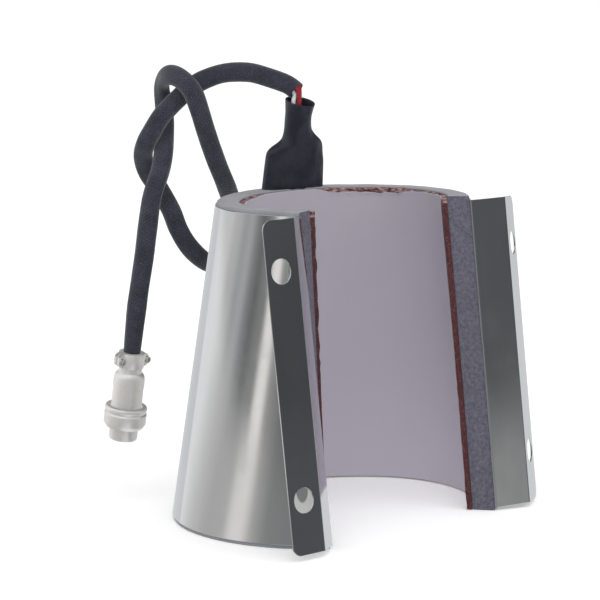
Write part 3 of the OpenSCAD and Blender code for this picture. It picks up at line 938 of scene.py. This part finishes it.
def end_slant(side, z):
    """How far round, per metre of depth, the inner layers pass the steel's edge."""
    v = (z - STEEL_Z) / SHEET_H
    return 0.06 + 0.36 * v if side == LEFT else 0.27


def end_turn(side, depth, z, ahead):
    reach = depth * end_slant(side, z) + ahead
    return edge_turn(side, z) + reach / (SIDE_R - shrink(z) - depth)


def band_half(side, name, loop, materials, ahead, rough, nodes):
    """Half of one layer. ahead(depth, z) moves its end, and rough(point, z) displaces its surface.

    A second material goes on the cut face at the opening.
    """
    turns = [0.0, 0.003, 0.01] + spread(0.02, 0.97, 120) + spread(0.974, 1.0, 8)
    rings = []
    for i, u in enumerate(turns):
        ring = []
        for d, z in loop:
            p = wrap_point(side, u * end_turn(side, d, z, ahead(d, z)), d, z)
            ring.append(p + rough(p, z) if i > 0 else p)
        rings.append(ring)
    points, faces = skin(rings, True, True)
    indices = [0] * (len(faces) - 1) + [len(materials) - 1]
    obj = piece(name + "_" + SIDE_NAMES[side], points, faces, materials, face_materials=indices)
    ride_both(obj)
    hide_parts(*nodes)
    return obj


def foam_half(side):
    loop = band_loop(SHEET_T, SHEET_T + FOAM_T, 0, FOAM_TOP, 0.0004, 50, 8)

    def rough(p, z):
        amount = 0.00012 if z > FOAM_TOP - 0.001 else 0.0
        return Vector((0, 0, noise.noise(p / 0.006) * amount))

    def ahead(d, z):
        return -0.0004

    return band_half(side, "foam", loop, [FOAM_SKIN, FOAM_CUT], ahead, rough,
                     (SIDE_NAMES[side] + "_foam", "back_foam"))


def torn(side, p):
    """1 in the torn stretch of the rim beside the boot, a little along the rest, and 0 at the back."""
    turn = math.degrees(math.atan2(side * p.x, p.y - BACK_CY))
    inside = min(turn - TORN_FROM, TORN_TO - turn) / TORN_FADE if side == RIGHT else 0.0
    worn = WORN * min(max((turn - TORN_FROM) / TORN_FADE, 0), 1)
    return max(min(inside, 1), worn)


def mat_half(side):
    depth = SHEET_T + FOAM_T
    loop = band_loop(depth, depth + MAT_T, 0.0003, FOAM_TOP - 0.0008, 0.0003, 60, 4)

    def rough(p, z):
        if z < FOAM_TOP - 0.0012:
            return Vector()
        lift = 0.0004 + 0.0009 * noise.noise(p / 0.0016)
        return Vector((0, 0, lift * torn(side, p)))

    def ahead(d, z):
        return 0.0006 + 0.0005 * noise.noise(Vector((side * 3.0, d * 300, z / 0.0022)))

    return band_half(side, "heater_mat", loop, [HEATER_RED], ahead, rough,
                     (SIDE_NAMES[side] + "_heater_mat", "back_heater_mat"))


def lining_half(side):
    depth = SHEET_T + FOAM_T + MAT_T
    z0, z1 = 0.0006, FOAM_TOP - 0.0004
    loop = band_loop(depth, depth + LINING_T, z0, z1, 0.0002, 60, 3)
    corner = {z0: 0.007, z1: 0.004}

    def ahead(d, z):
        cut = 0.0
        for end, r in corner.items():
            away = abs(z - end)
            if away < r:
                cut = r - math.sqrt(r * r - (r - away) ** 2)
        return -0.0012 - cut

    def rough(p, z):
        if z < z1 - 0.0006:
            return Vector()
        return Vector((0, 0, -(0.0017 + 0.0008 * noise.noise(p / 0.003)) * torn(side, p)))

    return band_half(side, "lining", loop, [LINING], ahead, rough,
                     (SIDE_NAMES[side] + "_lining", "back_lining"))


for side in (LEFT, RIGHT):
    steel_half(side)
    foam_half(side)
    mat_half(side)
    lining_half(side)


# ---- Heating element, a flat foil that runs up and down inside the mat ----
ELEMENT_W = 0.0016
ELEMENT_T = 0.0006
ELEMENT_DEPTH = SHEET_T + FOAM_T + MAT_T / 2
ELEMENT_LOW = 0.009
ELEMENT_HIGH = FOAM_TOP - 0.017
BACK_STEP, BACK_RUNS = math.radians(5.2), 7
SIDE_STEP, SIDE_FIRST, SIDE_RUNS = math.radians(8.2), math.radians(54), 9


def element_half(side):
    turns = [BACK_STEP * (i + 1) for i in range(BACK_RUNS)]
    side_turns = [SIDE_FIRST + SIDE_STEP * i for i in range(SIDE_RUNS)]
    for name, row, nodes in (("back", turns, ("back_heating_element",)),
                             ("side", side_turns, (SIDE_NAMES[side] + "_heating_element",))):
        line = []
        for i, turn in enumerate(row):
            ends = [ELEMENT_LOW, ELEMENT_HIGH] if i % 2 == 0 else [ELEMENT_HIGH, ELEMENT_LOW]
            for z in spread(ends[0], ends[1], 24):
                line.append((turn, z))
            if i + 1 < len(row):
                line += [(t, ends[1]) for t in spread(turn, row[i + 1], 7)[1:-1]]
        rings = []
        path = [wrap_point(side, t, ELEMENT_DEPTH, z) for t, z in line]
        for i, (turn, z) in enumerate(line):
            along = heading_at(path, i)
            out = wrap_point(side, turn, 0, z) - path[i]
            out = (out - out.dot(along) * along).normalized()
            wide = along.cross(out) * (ELEMENT_W / 2)
            thin = out * (ELEMENT_T / 2)
            corners = (wide + thin, thin - wide, -wide - thin, wide - thin)
            rings.append([path[i] + corner for corner in corners])
        obj = piece("element_foil_" + name + "_" + SIDE_NAMES[side], *skin(rings), [FOIL], sharp=50)
        ride_both(obj)
        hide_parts(*nodes)


for side in (LEFT, RIGHT):
    element_half(side)


# ---- CAD nodes that keep their own shape ----
for node, material in (("temperature_sensor", SENSOR), ("lead_splices", TIN), ("plug_set_screw", SCREW),
                       ("plug_insulator", INSULATOR), ("plug_contacts", GOLD)):
    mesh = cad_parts[node].data
    mesh.materials.clear()
    mesh.materials.append(material)


# ---- Stage and lights ----
def make_stage():
    mesh = bpy.data.meshes.new("floor")
    half = 6.0
    corners = [(-half, -half, 0), (half, -half, 0), (half, half, 0), (-half, half, 0)]
    mesh.from_pydata(corners, [], [(0, 1, 2, 3)])
    floor = bpy.data.objects.new("floor", mesh)
    bpy.context.collection.objects.link(floor)
    shader = Shader("floor", roughness=0.7, emission_color=(1, 1, 1, 1), emission_strength=0.16)
    tone = shader.noise(shader.place(), 3, 2)
    pale = shader.ramp(tone, (0.3, (0.92, 0.92, 0.92)), (0.7, (0.95, 0.95, 0.95)))
    mesh.materials.append(shader.set(base_color=pale))
    floor.visible_glossy = False


# What the polished steel reflects: azimuth in degrees, brightness and warmth.
# Azimuth 0 is straight in front of the opening and 90 is to its right.
HIGH_BANDS = [
    (-180, 0.66, -0.01), (-152, 0.62, 0.01), (-146, 0.50, 0.01), (-140, 0.49, 0.0),
    (-134, 0.37, -0.01), (-127, 0.47, 0.0), (-121, 0.27, -0.01), (-113, 0.14, 0.0),
    (-107, 0.24, 0.0), (-101, 0.22, 0.0), (-98, 0.92, 0.04), (-91, 0.96, 0.04),
    (-87, 0.34, 0.02), (-72, 0.20, 0.0), (-50, 0.11, -0.02), (-10, 0.10, -0.05),
    (16, 0.09, -0.05), (24, 0.07, -0.05), (60, 0.07, -0.05), (72, 0.20, -0.03),
    (95, 0.33, -0.02), (140, 0.54, -0.02)
]
LOW_BANDS = [
    (-180, 0.74, -0.02), (-160, 0.88, -0.01), (-150, 0.88, 0.0), (-134, 0.62, 0.01),
    (-120, 0.46, 0.01), (-106, 0.48, 0.01), (-101, 0.80, 0.02), (-92, 0.82, 0.04),
    (-84, 0.42, 0.01), (-72, 0.27, 0.0), (-40, 0.24, 0.0), (5, 0.32, 0.0),
    (20, 0.30, 0.0), (27, 0.09, -0.06), (62, 0.09, -0.05), (75, 0.42, -0.01),
    (100, 0.56, -0.02), (140, 0.70, -0.02)
]
# Degrees that the bands lean for each degree of elevation
BAND_SLANT = 3.4
# Elevations in degrees between which the low bands give way to the high ones, and how much
# higher that is in front of the opening.
HORIZON_LOW, HORIZON_HIGH, HORIZON_RISE = -0.6, 1.8, 1.4


def stops(bands):
    """Ramp stops of bands, on a ramp that goes once round from -180 to 180 degrees."""
    return [(azimuth / 360 + 0.5, (grey * (1 + warmth), grey, grey * (1 - warmth)))
            for azimuth, grey, warmth in bands]


def make_world():
    """Camera rays see white, diffuse light is even and pale, and reflections see soft upright bands."""
    world = bpy.data.worlds.new("studio")
    bpy.context.scene.world = world
    world.use_nodes = True
    w = Nodes(world.node_tree)
    ray = w.add("ShaderNodeSeparateXYZ", {0: w.add("ShaderNodeTexCoord").outputs["Generated"]}).outputs
    elevation = w.math("MULTIPLY", ray[2], 180 / math.pi)
    azimuth = w.math("ARCTAN2", ray[0], w.math("MULTIPLY", ray[1], -1))
    turn = w.math("MULTIPLY", azimuth, 0.5 / math.pi)
    slanted = w.math("ADD", w.math("ADD", turn, 0.5), w.math("MULTIPLY", elevation, -BAND_SLANT / 360))
    front = w.math("MULTIPLY", w.math("COSINE", azimuth), HORIZON_RISE)
    height = w.math("SUBTRACT", elevation, front)
    high = w.add("ShaderNodeMapRange", {"Value": height, "From Min": HORIZON_LOW, "From Max": HORIZON_HIGH},
                 interpolation_type="SMOOTHSTEP").outputs["Result"]
    seen = w.mix(high, w.ramp(slanted, *stops(LOW_BANDS)), w.ramp(slanted, *stops(HIGH_BANDS)))
    is_glossy = w.add("ShaderNodeLightPath").outputs["Is Glossy Ray"]
    background = w.tree.nodes["Background"]
    w.tree.links.new(w.mix(is_glossy, (1, 1, 1, 1), seen), background.inputs["Color"])
    background.inputs["Strength"].default_value = 1.0


def make_lights():
    """One large soft light high on the left, and a broad fill in front; both outside the reflections."""
    lights = (("key", (-0.9, -0.7, 1.5), 1.2, 9.0), ("fill", (0.7, -1.3, 0.8), 1.4, 4.0))
    for name, place, size, power in lights:
        lamp = bpy.data.lights.new(name, "AREA")
        lamp.size = size
        lamp.energy = power
        obj = bpy.data.objects.new(name, lamp)
        obj.location = place
        obj.rotation_euler = (Vector((0, 0, 0.08)) - Vector(place)).to_track_quat("-Z", "Y").to_euler()
        obj.visible_glossy = False
        bpy.context.collection.objects.link(obj)


make_stage()
make_world()
make_lights()
bpy.context.scene.view_settings.view_transform = "Standard"
